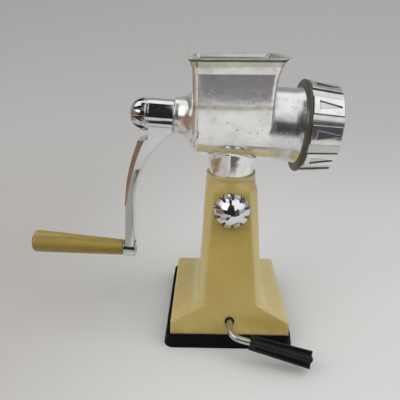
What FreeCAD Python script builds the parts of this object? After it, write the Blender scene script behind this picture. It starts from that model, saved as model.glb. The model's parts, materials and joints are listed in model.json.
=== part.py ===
import FreeCAD, Part
import os
from math import asin, atan, cos, degrees, pi, radians, sin, tan

from FreeCAD import Placement, Rotation, Vector

# Hand-cranked food grinder on a suction base, in millimetres: +Z up, +X to the outlet, -Y to the front.
# The origin is on the table, under the middle of the base. The worm's axis runs over it, a little downhill.

# Running gap, seating gap, end play, broken edges, and how far a cutter runs past what it opens
RUN = 0.05
GAP = 0.3
PLAY = 0.1
EDGE_BREAK = 0.8
OVER = 5.0

# Rubber pad under the foot
PAD_WIDTH = 130.0
PAD_DEPTH = 134.5
PAD_HEIGHT = 15.0
PAD_SHIFT = -1.0
PAD_DRAFT = 2.6
PAD_FRONT_DRAFT = 1.0
PAD_CORNER = 9.5
PAD_ROUND = 1.2
PAD_OPENING = 47.0

# Foot: a skirt under a hipped roof, whose front is one plane with the front panel
FOOT_HALF_WIDTH = 59.0
FOOT_BACK = 64.0
FOOT_FRONT = -64.3
FOOT_WALL = 3.2
FOOT_CORNER = 4.0
CAVITY_DROP = 0.6
SKIRT_TOP = 26.8
ROOF_ANGLE = 29.0
ROOF_TOP = 50.0
FRONT_SLOPE = 0.26
COVE = 14.0
COVE_STEPS = 5
FRONT_TRIM = 4.0

# Column: eight-sided between the foot and the panel's top, then round at the socket
HIP_Z = 45.5
PANEL_TOP = 154.0
BAND_BOTTOM = 161.0
SOCKET_TOP = 166.0
SOCKET_RADIUS = 24.4
PANEL_HALF = (16.7, 25.4)
SIDE_HALF = (25.0, 31.5)
COLUMN_BACK = (25.2, 36.5)
FRONT_BEVEL = (9.0, 6.5)
BACK_BEVEL = (8.0, 6.0)
COLUMN_CAVITY_TOP = 108.0
SOCKET_FLOOR = 118.0
SOCKET_DRAIN = 15.0
GUIDE_WEB = (56.0, 60.0)

# Plate inside the foot and its screws
PLATE_GAUGE = 2.0
PLATE_PASS = (19.0, 12.0)
LUG_HALF = 7.0
LUG_THICK = 3.0
SCREW_X = 44.0
SCREW_Y = 48.0
SCREW_RADIUS = 2.0
SCREW_LENGTH = 12.0
SCREW_BOSS = 5.0
SCREW_HOLE = 14.0
SCREW_WELL = 5.5
HEAD_RADIUS = 4.4
HEAD_HEIGHT = 3.0
DRIVE_HALF = (2.4, 0.5)
DRIVE_DEPTH = 1.2

# Post of the grinder body, which stands in the socket
POST_RADIUS = 22.4
POST_BOTTOM = 118.05
POST_WALL = 4.0
POST_CORE_TOP = 170.0
SADDLE = 5.0

# Worm axis
AXIS_Z = 216.4
AXIS_TILT = 4.0

# Grinder body: barrel, hopper and crank boss
BARREL_RADIUS = 34.4
BARREL_BORE = 30.2
BARREL_BACK = -37.3
BARREL_END = 84.0
BARREL_CORNER = 6.0
SHOULDER_START = 53.0
SHOULDER_RISE = 1.6
BORE_BACK = -31.0
PLATE_SEAT = 32.2
HOPPER_LEFT = -37.5
HOPPER_RIGHT = 34.0
HOPPER_WALL = 3.4
HOPPER_CORNER = 5.0
HOPPER_LEAN = 8.5
RIM_TOP = 275.5
RIM_FLARE_LEFT = 6.0
RIM_FLARE_FRONT = 5.0
RIM_FLARE_RIGHT = 11.0
RIM_DROP_LEFT = 12.0
RIM_DROP_FRONT = 13.0
RIM_DROP_RIGHT = 26.0
RIM_STEPS = 6
BOSS_END = -55.5
BOSS_RADIUS = 17.8
BOSS_BREAK = 0.6
BOSS_NECK = (-51.5, 18.1)
BOSS_HOLLOW = (-44.0, 21.6)
BOSS_SPREAD = (-38.6, 29.0)
BOSS_FLARE = (-35.3, 31.0)

# Outlet: collar ring, ring nut, plate and knife
COLLAR_BACK = 61.5
COLLAR_THICK = 3.4
COLLAR_RADIUS = 43.4
NUT_BACK = 65.2
NUT_FRONT = 93.8
NUT_RADIUS = (43.2, 40.2)
NUT_LANDS = 10
NUT_LAND_ANGLE = 22.5
NUT_LAND_RISE = 1.3
NUT_LAND_START = 16.0
NUT_MOUTH = 30.0
NUT_LIP = 3.6
NUT_DISH = 5.0
WEDGE_HALF = (4.2, 0.7)
WEDGE_DEPTH = 1.1
WEDGE_SPAN = (70.5, 90.8)
PLATE_BACK = 78.0
PLATE_FRONT = 84.4
PLATE_HOLE = 3.4
PLATE_RINGS = ((6, 13.0), (12, 23.5))
KEY_RADIUS = 1.5
KNIFE_HUB = 11.0
KNIFE_REACH = 28.4
KNIFE_ROOT = (-4.5, 5.0)
KNIFE_TIP = (-3.4, 3.2)
KNIFE_GRIND = 2.4
SQUARE_HALF = 6.0
PILOT_RADIUS = 5.0

# Worm
WORM_BACK = -29.0
WORM_FRONT = 73.4
WORM_CORE = (13.0, 16.0)
WORM_RADIUS = 29.4
WORM_PITCH = 30.0
WORM_LAND = 3.2
WORM_ROOT = 7.0
WORM_SINK = 3.0
SHANK_RADIUS = 9.5
SHANK_TIP_RADIUS = 6.0
SHANK_TIP_REACH = 11.0
BUSH_RADIUS = 13.0
WASHER_RADIUS = 16.0

# Crank, in the worm's axis frame with the arm hanging down
HUB_RADIUS = 15.6
HUB_FACES = (-79.5, -56.2)
ARM_THROW = 147.0
ARM_HALF_WIDTH = (13.0, 7.5)
ARM_SHOULDER = -20.0
ARM_STRAIGHT = -92.0
ARM_FACES = (-101.6, -91.6)
ARM_INNER_BOW = (-80.0, -44.0)
ARM_OUTER_BOW = (-97.6, -53.0)
ARM_OUTER_TOP = (-90.2, -27.0)
ARM_EDGE = 1.8
ARM_BEVEL = 6.2
ARM_BEVEL_FADE = 0.4
ARM_BEVEL_STEPS = 8
SEAT_LEDGE = -22.0
SEAT_CURL = ((-89.6, -24.8), (-87.5, -24.2))
EYE_RADIUS = 9.3
EYE_FACES = (-103.5, -90.6)
EYE_BREAK = 0.6
NUT_WASHER_THICK = 2.2
NUT_WASHER_RADIUS = 15.2
DOME_RADIUS = 15.6
DOME_LENGTH = 17.0
DOME_FLUTES = 10
DOME_TURN = 85.0
DOME_SKIRT = 3.5
DOME_KNUCKLE = 9.0
DOME_NOTCH = ((3.4, 16.1), (11.2, 11.5))
DOME_NOTCH_RADIUS = 2.5
GRIP_START = -104.2
GRIP_LENGTH = 97.5
GRIP_RADIUS = (8.4, 11.8)
GRIP_BELLY = 0.54
GRIP_SHOULDER = 4.0
GRIP_CROWN = 0.4
GRIP_KNUCKLE = 1.3
PIN_RADIUS = 3.5
PIN_SNAP = 4.2
PIN_REACH = 84.0
PIN_HEAD = 0.8
PIN_HEAD_RADIUS = (3.0, 4.4)
SNAP_ALONG = (79.5, 80.0, 82.0)
SNAP_NOSE = 2.5
POCKET_START = 79.0
POCKET_END = 86.0

# Clamp on the front panel
CLAMP_Z = 137.2
KNOB_RADIUS = 17.2
KNOB_HEIGHT = 17.5
KNOB_LIFT = 1.2
KNOB_SKIRT = 3.0
KNOB_KNUCKLE = 10.0
KNOB_FLUTES = 10
KNOB_NOTCH = ((5.4, 17.8), (13.4, 12.0))
KNOB_NOTCH_RADIUS = 2.6
NOTCH_TAPER = 0.45
STUD_RADIUS = 4.0
STUD_TIP = -7.6
STUD_TOP = 12.0
INSERT_RADIUS = 6.5
INSERT_DEPTH = 5.0
SHOE_RADIUS = 5.2
SHOE_REACH = 5.0
SHOE_WELL = 20.0

# Suction lever and its lift
LEVER_Z = 28.0
ROD_RADIUS = 3.2
ROD_INNER_END = 19.0
ROD_GRIP_COVER = 12.0
HOLE_RADIUS = 4.9
HOLE_BOSS = 7.9
BUSH_SINK = 2.5
BUSH_INNER = -45.0
BUSH_FLANGE = (6.9, 1.5)
CLIP_RADIUS = 6.0
CLIP_THICK = 1.2
CLIP_MOUTH = 2.0
LEVER_ELBOW_Y = -82.0
LEVER_TIP = (73.0, -96.0, 15.0)
ELBOW_RADIUS = 11.0
LEVER_GRIP_START = 19.0
LEVER_GRIP_HALF = (5.4, 6.5)
LEVER_GRIP_CORNER = 0.35
LEVER_GRIP_END = 1.0
FLUTE_START = 24.0
FLUTE_DEPTH = 1.4
FLUTE_NEAR = (1.2, 1.6)
FLUTE_FAR = (2.6, 3.4)
CAM_RADIUS = (9.0, 5.0)
CAM_HALF_THICK = 5.0
CAM_PLAY = 0.4
CAM_STEPS = 12
YOKE_HALF = 11.5
YOKE_BAR = 4.0
YOKE_HALF_THICK = 4.5
YOKE_ROUND = 3.0
STEM_RADIUS = 4.0
STEM_TOP = 66.0
GUIDE_RADIUS = 6.0
GUIDE_FLANGE = (8.5, 1.5)
SPRING_RADIUS = 7.0
SPRING_WIRE = 0.6
SPRING_TURNS = 5
CUP_RADIUS = 52.0
CUP_THICK = 2.4
CUP_SHELF = 1.2
CUP_LOW = 5.0
CUP_FLAT = 18.0
CUP_RIM = 41.0
CUP_SLANT = 0.6
CUP_DISC = 15.0
CUP_DISC_BREAK = 1.0


# Helpers

def mix(pair, t):
    return pair[0] + (pair[1] - pair[0]) * t


def outline(points, place):
    """Closed wire through the points; a pair of points is an arc through the first to the second."""
    edges = []
    here = place(*points[0])
    for step in points[1:] + points[:1]:
        if isinstance(step[0], tuple):
            end = place(*step[1])
            edges.append(Part.Arc(here, place(*step[0]), end).toShape())
        else:
            end = place(*step)
            edges.append(Part.LineSegment(here, end).toShape())
        here = end
    return Part.Wire(edges)


def turned(points):
    """Solid turned about X from an outline of (along, radius) points."""
    face = Part.Face(outline(points, lambda along, radius: Vector(along, 0, radius)))
    return face.revolve(Vector(), Vector(1, 0, 0), 360)


def turned_upright(points):
    """Solid turned about Z from an outline of (radius, height) points."""
    face = Part.Face(outline(points, lambda radius, height: Vector(radius, 0, height)))
    return face.revolve(Vector(), Vector(0, 0, 1), 360)


def crown(rim, radius, top):
    """Last step of a turned outline: a spherical cap from its rim to its top on the axis."""
    rise = top - rim
    ball = (radius ** 2 + rise ** 2) / (2 * rise)
    lean = asin(radius / ball) / 2
    return (top - ball * (1 - cos(lean)), ball * sin(lean)), (top, 0)


def rod_x(radius, start, end):
    return Part.makeCylinder(radius, end - start, Vector(start, 0, 0), Vector(1, 0, 0))


def rod_y(radius, start, end, z):
    return Part.makeCylinder(radius, end - start, Vector(0, start, z), Vector(0, 1, 0))


def rod_z(radius, bottom, top, x=0, y=0):
    return Part.makeCylinder(radius, top - bottom, Vector(x, y, bottom))


def block(low, high):
    size = Vector(*high) - Vector(*low)
    return Part.makeBox(size.x, size.y, size.z, Vector(*low))


def polygon(points, z):
    return outline(points, lambda x, y: Vector(x, y, z))


def rounded_rectangle(x0, x1, y0, y1, radius, z):
    k = radius * (1 - sin(radians(45)))
    return polygon([
        ((x0 + x1) / 2, y0), (x1 - radius, y0), ((x1 - k, y0 + k), (x1, y0 + radius)),
        (x1, y1 - radius), ((x1 - k, y1 - k), (x1 - radius, y1)),
        (x0 + radius, y1), ((x0 + k, y1 - k), (x0, y1 - radius)),
        (x0, y0 + radius), ((x0 + k, y0 + k), (x0 + radius, y0)),
    ], z)


def loft(wires, ruled=True):
    return Part.makeLoft(wires, True, ruled)


def around_x(shape, angle):
    copy = shape.copy()
    copy.rotate(Vector(), Vector(1, 0, 0), angle)
    return copy


def fused(shapes):
    return shapes[0].multiFuse(shapes[1:]).removeSplitter()


def front_at(z):
    """Y of the front panel's plane at a height."""
    return FOOT_FRONT + (z - PAD_HEIGHT) * FRONT_SLOPE


WORM_FRAME = Placement(Vector(0, 0, AXIS_Z), Rotation(Vector(0, 1, 0), AXIS_TILT))
PANEL_LEAN = Rotation(Vector(1, 0, 0), -degrees(atan(FRONT_SLOPE)))
OUT_OF_PANEL = Rotation(Vector(0, 0, 1), -90)
CLAMP_FRAME = Placement(Vector(0, front_at(CLAMP_Z), CLAMP_Z), PANEL_LEAN * OUT_OF_PANEL)


def on_axis(shape):
    """Moves a shape from the worm's own frame, X along the axis, to its place."""
    shape.Placement = WORM_FRAME * shape.Placement
    return shape


def on_panel(shape):
    """Moves a shape from the clamp's own frame, X out of the front panel, to its place."""
    shape.Placement = CLAMP_FRAME * shape.Placement
    return shape


# Base: housing, pad, plate and its screws

def column_corners(z, inset=0.0, grow=0.0, ahead=0.0):
    """The column's eight corners at a height; ahead runs the front past its plane, to be trimmed off."""
    t = (PANEL_TOP - z) / (PANEL_TOP - HIP_Z)
    side = mix(SIDE_HALF, t) - inset + grow
    back = mix(COLUMN_BACK, t) - inset + grow
    bevel = mix(FRONT_BEVEL, t)
    shoulder = front_at(z) + inset + bevel
    panel = mix(PANEL_HALF, t) - inset / 2
    nose = panel - (side - panel) * ahead / bevel
    hip = back - mix(BACK_BEVEL, t)
    heel = side - mix(BACK_BEVEL, t)
    half = [(nose, shoulder - bevel - ahead), (side, shoulder), (side, hip), (heel, back)]
    return half + [(-x, y) for x, y in reversed(half)]


def flare():
    """Cove between the column and the roof: the column's section grows along a quarter-round."""
    roof_at_side = SKIRT_TOP + (FOOT_HALF_WIDTH - SIDE_HALF[1]) * tan(radians(ROOF_ANGLE))
    sweep = 90 - ROOF_ANGLE
    top = roof_at_side + COVE * tan(radians(sweep / 2))
    rings = []
    for step in range(COVE_STEPS + 1):
        angle = radians(sweep * step / COVE_STEPS)
        z = top - COVE * sin(angle)
        rings.append(polygon(column_corners(z, grow=COVE * (1 - cos(angle)), ahead=FRONT_TRIM), z))
    return loft(rings, ruled=False)


def socket_ring(z):
    """The socket's circle, cut into eight arcs that face the column's eight sides."""
    corners = column_corners(PANEL_TOP)
    rays = [Vector(x, y, 0).normalize() * SOCKET_RADIUS for x, y in corners]
    lift = Vector(0, 0, z)
    edges = []
    for here, there in zip(rays, rays[1:] + rays[:1]):
        middle = (here + there).normalize() * SOCKET_RADIUS
        edges.append(Part.Arc(here + lift, middle + lift, there + lift).toShape())
    return Part.Wire(edges)


def foot_solid(inset, bottom):
    """Skirt and hipped roof; inset shrinks it for the cavity."""
    half = FOOT_HALF_WIDTH - inset
    back = FOOT_BACK - inset
    corner = FOOT_CORNER / 2 if inset else FOOT_CORNER
    eaves = SKIRT_TOP - inset * CAVITY_DROP
    top = ROOF_TOP - inset * CAVITY_DROP
    draw = (ROOF_TOP - SKIRT_TOP) / tan(radians(ROOF_ANGLE))

    def ring(z, shrink, radius):
        front = front_at(z) + (inset or -FRONT_TRIM)
        return rounded_rectangle(-half + shrink, half - shrink, front, back - shrink, radius, z)

    skirt = loft([ring(bottom, 0, corner), ring(eaves, 0, corner)])
    roof = loft([ring(eaves, 0, corner), ring(top, draw, corner / 4)])
    return fused([skirt, roof])


def screw_places():
    return [(x, y) for x in (-SCREW_X, SCREW_X) for y in (-SCREW_Y, SCREW_Y)]


def base_housing():
    """Cast pedestal: a hollow foot and column, with a socket on top for the grinder body's post."""
    column = loft([polygon(column_corners(z, ahead=FRONT_TRIM), z) for z in (SKIRT_TOP, PANEL_TOP)])
    neck = loft([polygon(column_corners(PANEL_TOP), PANEL_TOP), socket_ring(BAND_BOTTOM)])
    band = rod_z(SOCKET_RADIUS, BAND_BOTTOM, SOCKET_TOP)
    shell = fused([foot_solid(0, PAD_HEIGHT), column, flare()])
    shell = shell.cut(on_panel(block((0, -PAD_WIDTH, -SOCKET_TOP), (PAD_DEPTH, PAD_WIDTH, SOCKET_TOP))))
    shell = fused([shell, neck, band])

    cavity = loft([polygon(column_corners(z, FOOT_WALL), z) for z in (SKIRT_TOP, COLUMN_CAVITY_TOP)])
    cavity = fused([foot_solid(FOOT_WALL, PAD_HEIGHT), cavity])
    web_bottom, web_top = GUIDE_WEB
    web = block((-SIDE_HALF[1], front_at(web_bottom), web_bottom), (SIDE_HALF[1], COLUMN_BACK[1], web_top))
    cavity = cavity.cut(web)
    cavity = cavity.cut(rod_y(HOLE_BOSS, FOOT_FRONT, BUSH_INNER, LEVER_Z))
    for x, y in screw_places():
        cavity = cavity.cut(rod_z(SCREW_BOSS, PAD_HEIGHT + PLATE_GAUGE, ROOF_TOP, x, y))
    shell = shell.cut(cavity)

    shell = shell.cut(rod_z(POST_RADIUS + RUN, SOCKET_FLOOR, SOCKET_TOP))
    shell = shell.cut(rod_z(SOCKET_DRAIN, COLUMN_CAVITY_TOP - OVER, SOCKET_FLOOR))
    shell = shell.cut(rod_z(GUIDE_RADIUS, web_bottom, web_top))
    shell = shell.cut(rod_y(HOLE_RADIUS, FOOT_FRONT - OVER, BUSH_INNER, LEVER_Z))
    shoe_well = rod_x(SHOE_RADIUS + GAP, -SHOE_WELL, -INSERT_DEPTH)
    shell = shell.cut(on_panel(rod_x(INSERT_RADIUS, -INSERT_DEPTH, OVER).fuse(shoe_well)))
    for x, y in screw_places():
        shell = shell.cut(rod_z(SCREW_RADIUS, PAD_HEIGHT, PAD_HEIGHT + SCREW_HOLE, x, y))
    return shell


def base_pad():
    """Pad whose sides spread towards the table, open in the middle for the cup."""
    def ring(z, side, end):
        half_w = PAD_WIDTH / 2 - side
        half_d = PAD_DEPTH / 2 - end
        left = PAD_SHIFT - half_w
        right = PAD_SHIFT + half_w
        return rounded_rectangle(left, right, -half_d, half_d, PAD_CORNER - side, z)

    pad = loft([ring(0, 0, 0), ring(PAD_HEIGHT, PAD_DRAFT, PAD_FRONT_DRAFT)])
    rim = [e for e in pad.Edges if abs(e.CenterOfMass.z - PAD_HEIGHT) < RUN]
    pad = pad.makeFillet(PAD_ROUND, rim)
    pad = pad.cut(rod_z(PAD_OPENING, 0, PAD_HEIGHT))
    pad = pad.cut(rod_z(CUP_RADIUS + GAP, CUP_SHELF, PAD_HEIGHT))
    for x, y in screw_places():
        pad = pad.cut(rod_z(SCREW_WELL, 0, PAD_HEIGHT, x, y))
    return pad


def base_plate():
    """Pressed plate inside the foot, with a bent-up lug that carries the rod's inner end."""
    inside = FOOT_WALL + GAP
    half = FOOT_HALF_WIDTH - inside
    front = front_at(PAD_HEIGHT + PLATE_GAUGE) + inside
    sheet = rounded_rectangle(-half, half, front, FOOT_BACK - inside, FOOT_CORNER, PAD_HEIGHT)
    plate = Part.Face(sheet).extrude(Vector(0, 0, PLATE_GAUGE))
    pass_x, pass_y = PLATE_PASS
    plate = plate.cut(block((-pass_x, -pass_y, 0), (pass_x, pass_y, LEVER_Z)))
    lug_back = ROD_INNER_END - 1
    lug_front = lug_back - LUG_THICK
    lug = block((-LUG_HALF, lug_front, PAD_HEIGHT), (LUG_HALF, lug_back, LEVER_Z))
    plate = fused([plate, lug, rod_y(LUG_HALF, lug_front, lug_back, LEVER_Z)])
    plate = plate.cut(rod_y(ROD_RADIUS + RUN, 0, ROD_INNER_END + OVER, LEVER_Z))
    for x, y in screw_places():
        plate = plate.cut(rod_z(SCREW_RADIUS + GAP, PAD_HEIGHT, PAD_HEIGHT + PLATE_GAUGE, x, y))
    return plate


def base_screws():
    """Four pan-head screws, driven up through the plate into the foot's bosses."""
    low = PAD_HEIGHT - HEAD_HEIGHT
    long, wide = DRIVE_HALF
    head = turned_upright([
        (0, low), (HEAD_RADIUS - 1.4, low), ((HEAD_RADIUS - 0.4, low + 0.6), (HEAD_RADIUS, low + 2)),
        (HEAD_RADIUS, PAD_HEIGHT), (0, PAD_HEIGHT),
    ])
    drive = block((-long, -wide, low), (long, wide, low + DRIVE_DEPTH))
    drive = drive.fuse(block((-wide, -long, low), (wide, long, low + DRIVE_DEPTH)))
    screw = fused([head, rod_z(SCREW_RADIUS, PAD_HEIGHT, PAD_HEIGHT + SCREW_LENGTH)]).cut(drive)
    screws = []
    for x, y in screw_places():
        copy = screw.copy()
        copy.translate(Vector(x, y, 0))
        screws.append(copy)
    return Part.makeCompound(screws)


# Suction lever and the lift it works

ELBOW = Vector(0, LEVER_ELBOW_Y, LEVER_Z)
LEVER_RUN = Vector(*LEVER_TIP) - ELBOW
LEVER_WAY = Vector(LEVER_RUN).normalize()
LEVER_FRAME = Placement(ELBOW, Rotation(LEVER_WAY, Vector(), Vector(0, 0, 1), "XZY"))
YOKE_TOP = LEVER_Z + CAM_RADIUS[0] + CAM_PLAY + YOKE_BAR
YOKE_BOTTOM = LEVER_Z - CAM_RADIUS[0] - CAM_PLAY - YOKE_BAR


def lever_rod():
    """Straight through the base, then one elbow to the grip."""
    outward = Vector(0, -1, 0)
    turn = outward.getAngle(LEVER_WAY)
    reach = ELBOW_RADIUS * tan(turn / 2)
    start = Vector(0, ROD_INNER_END, LEVER_Z)
    bend_start = ELBOW - outward * reach
    bend_end = ELBOW + LEVER_WAY * reach
    inner = (LEVER_WAY - outward).normalize()
    centre = ELBOW + inner * (ELBOW_RADIUS / cos(turn / 2))
    middle = centre - inner * ELBOW_RADIUS
    finish = ELBOW + LEVER_WAY * (LEVER_RUN.Length - ROD_GRIP_COVER)
    path = Part.Wire([
        Part.LineSegment(start, bend_start).toShape(),
        Part.Arc(bend_start, middle, bend_end).toShape(),
        Part.LineSegment(bend_end, finish).toShape(),
    ])
    section = Part.Wire(Part.makeCircle(ROD_RADIUS, start, outward))
    return path.makePipeShell([section], True, False)


def lever_grip():
    """Tapered grip with a flute down each of its four sides, open at the outer end."""
    small, large = LEVER_GRIP_HALF
    end = LEVER_RUN.Length + LEVER_GRIP_END

    def ring(along, half):
        flat = rounded_rectangle(-half, half, -half, half, half * LEVER_GRIP_CORNER, 0)
        flat.Placement = Placement(Vector(along, 0, 0), Rotation(Vector(0, 1, 0), 90))
        return flat

    def flute_ring(along, widths):
        deep, open_half = widths
        floor = small - FLUTE_DEPTH
        edge = large + 1
        return outline([(-open_half, edge), (-deep, floor), (deep, floor), (open_half, edge)],
                       lambda across, up: Vector(along, across, up))

    grip = loft([ring(LEVER_GRIP_START, small), ring(end, large)])
    flute = loft([flute_ring(FLUTE_START, FLUTE_NEAR), flute_ring(end + 1, FLUTE_FAR)])
    for side in range(4):
        grip = grip.cut(around_x(flute, 90 * side))
    grip = grip.cut(rod_x(ROD_RADIUS, LEVER_GRIP_START - OVER, LEVER_RUN.Length - ROD_GRIP_COVER))
    grip.Placement = LEVER_FRAME
    return grip


def lever_bush():
    radius, thick = BUSH_FLANGE
    sleeve = rod_y(HOLE_RADIUS, front_at(LEVER_Z) + BUSH_SINK, BUSH_INNER, LEVER_Z)
    flange = rod_y(radius, BUSH_INNER, BUSH_INNER + thick, LEVER_Z)
    return fused([sleeve, flange]).cut(rod_y(ROD_RADIUS + RUN, FOOT_FRONT, 0, LEVER_Z))


def lever_clip():
    """Snap ring on the rod, open on one side."""
    start = BUSH_INNER + BUSH_FLANGE[1] + GAP
    end = start + CLIP_THICK
    ring = rod_y(CLIP_RADIUS, start, end, LEVER_Z).cut(rod_y(ROD_RADIUS, start, end, LEVER_Z))
    return ring.cut(block((-CLIP_MOUTH, start, LEVER_Z), (CLIP_MOUTH, end, LEVER_Z + CLIP_RADIUS)))


def lift_cam():
    """Cam whose radius falls evenly through half a turn, so that the lift follows the lever evenly."""
    def rim_point(degree, radius):
        angle = radians(degree)
        return Vector(radius * cos(angle), -CAM_HALF_THICK, LEVER_Z + radius * sin(angle))

    high, low = CAM_RADIUS
    shares = [step / CAM_STEPS for step in range(CAM_STEPS + 1)]
    fall = [rim_point(90 - 180 * t, mix(CAM_RADIUS, t)) for t in shares]
    back = [rim_point(-90 - 180 * t, mix((low, high), (1 - cos(pi * t)) / 2)) for t in shares]
    edges = []
    for points in (fall, back):
        curve = Part.BSplineCurve()
        curve.interpolate(points)
        edges.append(curve.toShape())
    cam = Part.Face(Part.Wire(edges)).extrude(Vector(0, 2 * CAM_HALF_THICK, 0))
    return cam.cut(rod_y(ROD_RADIUS, -CAM_HALF_THICK - OVER, CAM_HALF_THICK + OVER, LEVER_Z))


def cup_stem():
    """Yoke round the cam, a guide rod above it and a stub down to the cup's plate."""
    half = YOKE_HALF + YOKE_BAR
    thick = YOKE_HALF_THICK
    yoke = block((-half, -thick, YOKE_BOTTOM), (half, thick, YOKE_TOP))
    yoke = yoke.makeFillet(YOKE_ROUND, [e for e in yoke.Edges if abs(e.CenterOfMass.y) < RUN])
    window_bottom = YOKE_BOTTOM + YOKE_BAR
    window_top = YOKE_TOP - YOKE_BAR
    window = block((-YOKE_HALF, -thick - OVER, window_bottom), (YOKE_HALF, thick + OVER, window_top))
    rod = rod_z(STEM_RADIUS, YOKE_TOP - YOKE_BAR / 2, STEM_TOP)
    stub = rod_z(STEM_RADIUS, CUP_LOW + CUP_THICK + PLATE_GAUGE, YOKE_BOTTOM + YOKE_BAR / 2)
    return fused([yoke.cut(window), rod, stub])


def stem_guide():
    bottom, top = GUIDE_WEB
    radius, thick = GUIDE_FLANGE
    sleeve = fused([rod_z(GUIDE_RADIUS, bottom, top), rod_z(radius, top, top + thick)])
    return sleeve.cut(rod_z(STEM_RADIUS + RUN, bottom, top + thick))


def return_spring():
    """Coil between the yoke and the web above it."""
    low = YOKE_TOP + SPRING_WIRE + GAP
    high = GUIDE_WEB[0] - SPRING_WIRE - GAP
    helix = Part.makeHelix((high - low) / SPRING_TURNS, high - low, SPRING_RADIUS)
    section = Part.Wire(Part.makeCircle(SPRING_WIRE, Vector(SPRING_RADIUS, 0, 0), Vector(0, 1, 0)))
    coil = Part.Wire(helix.Edges).makePipeShell([section], True, True)
    coil.translate(Vector(0, 0, low))
    return coil


def suction_cup():
    """Rubber diaphragm: its rim rests on the pad's shelf, and its middle is pulled up."""
    rim_top = CUP_SHELF + CUP_THICK
    flat_top = CUP_LOW + CUP_THICK
    return turned_upright([
        (0, CUP_LOW), (CUP_FLAT, CUP_LOW), (CUP_RIM, CUP_SHELF), (CUP_RADIUS, CUP_SHELF),
        (CUP_RADIUS, rim_top), (CUP_RIM + CUP_SLANT, rim_top),
        (CUP_FLAT + CUP_SLANT, flat_top), (0, flat_top),
    ])


def cup_plate():
    """Steel disc bonded to the middle of the diaphragm."""
    low = CUP_LOW + CUP_THICK
    high = low + PLATE_GAUGE
    edge = CUP_DISC_BREAK
    return turned_upright([
        (0, low), (CUP_DISC, low), (CUP_DISC, high - edge), (CUP_DISC - edge, high), (0, high),
    ])


# Clamp on the front panel, in its own frame with X out of the panel

def domed(base, length, radius, skirt, knuckle):
    """Dome turned about X: a short skirt, a round knuckle and a spherical crown that meets it smoothly."""
    rise = length - skirt
    inner = radius - knuckle
    ball = (rise ** 2 + inner ** 2 - knuckle ** 2) / (2 * (rise - knuckle))
    corner = base + skirt
    centre = base + length - ball
    lean = atan(inner / (corner - centre))
    join = (centre + ball * cos(lean), ball * sin(lean))
    turn = (pi / 2 + lean) / 2
    bulge = (corner + knuckle * cos(turn), inner + knuckle * sin(turn))
    return turned([
        (base, 0), (base, radius - EDGE_BREAK), (base + EDGE_BREAK, radius), (corner, radius),
        (bulge, join), crown(*join, base + length),
    ])


def fluted(dome, count, cutter):
    for step in range(count):
        dome = dome.cut(around_x(cutter, 360 * step / count))
    return dome


def tapered_notch(start, end, radius):
    """Round-bottomed notch between two (along, height) points, narrower at its end."""
    start = Vector(start[0], 0, start[1])
    end = Vector(end[0], 0, end[1])
    narrow = radius * NOTCH_TAPER
    cone = Part.makeCone(radius, narrow, start.distanceToPoint(end), start, end - start)
    return fused([cone, Part.makeSphere(radius, start), Part.makeSphere(narrow, end)])


def clamp_knob():
    knob = domed(KNOB_LIFT, KNOB_HEIGHT, KNOB_RADIUS, KNOB_SKIRT, KNOB_KNUCKLE)
    knob = fluted(knob, KNOB_FLUTES, tapered_notch(*KNOB_NOTCH, KNOB_NOTCH_RADIUS))
    return on_panel(knob.cut(rod_x(STUD_RADIUS, 0, STUD_TOP)))


def clamp_stud():
    return on_panel(rod_x(STUD_RADIUS, STUD_TIP, STUD_TOP))


def clamp_insert():
    bush = rod_x(INSERT_RADIUS, -INSERT_DEPTH, 0)
    return on_panel(bush.cut(rod_x(STUD_RADIUS + RUN, -INSERT_DEPTH, 0)))


def clamp_shoe():
    """Soft shoe whose face is hollowed to the post."""
    shoe = on_panel(rod_x(SHOE_RADIUS, STUD_TIP - SHOE_REACH, STUD_TIP - RUN))
    return shoe.cut(rod_z(POST_RADIUS + 2 * RUN, POST_BOTTOM - OVER, SOCKET_TOP))


# Grinder body

def hopper_ring(z, skin):
    """Level section of the hopper; its front and back lean out, and skin is the depth inside the wall."""
    lean = radians(HOPPER_LEAN)
    tilt = radians(AXIS_TILT)

    def spread(flare_out, drop):
        rise = max(0.0, 1 - (RIM_TOP - z) / drop)
        return flare_out * (1 - (1 - rise ** 2) ** 0.5) - skin

    def depth(x):
        above_axis = (z - AXIS_Z) * cos(tilt) + x * sin(tilt)
        wall = BARREL_RADIUS / cos(lean) + above_axis * tan(lean)
        return wall + spread(RIM_FLARE_FRONT, RIM_DROP_FRONT)

    left = HOPPER_LEFT - spread(RIM_FLARE_LEFT, RIM_DROP_LEFT)
    right = HOPPER_RIGHT + spread(RIM_FLARE_RIGHT, RIM_DROP_RIGHT)
    corner = HOPPER_CORNER + spread(RIM_FLARE_LEFT, RIM_DROP_FRONT)
    k = corner * (1 - sin(radians(45)))
    x0, x1 = left + corner, right - corner
    y0, y1 = depth(x0), depth(x1)
    return polygon([
        ((x0 + x1) / 2, -(y0 + y1) / 2), (x1, -y1), ((right - k, k - y1), (right, corner - y1)),
        (right, y1 - corner), ((right - k, y1 - k), (x1, y1)),
        (x0, y0), ((left + k, y0 - k), (left, y0 - corner)),
        (left, corner - y0), ((left + k, k - y0), (x0, -y0)),
    ], z)


def hopper_solid(skin, bottom):
    """Straight walls, then a flared rim that follows a round in steps that tighten towards the lip."""
    start = RIM_TOP - RIM_DROP_RIGHT
    steps = [start + RIM_DROP_RIGHT * sin(radians(90 * k / RIM_STEPS)) for k in range(RIM_STEPS + 1)]
    walls = loft([hopper_ring(bottom, skin), hopper_ring(start, skin)])
    return fused([walls, loft([hopper_ring(z, skin) for z in steps])])


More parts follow.
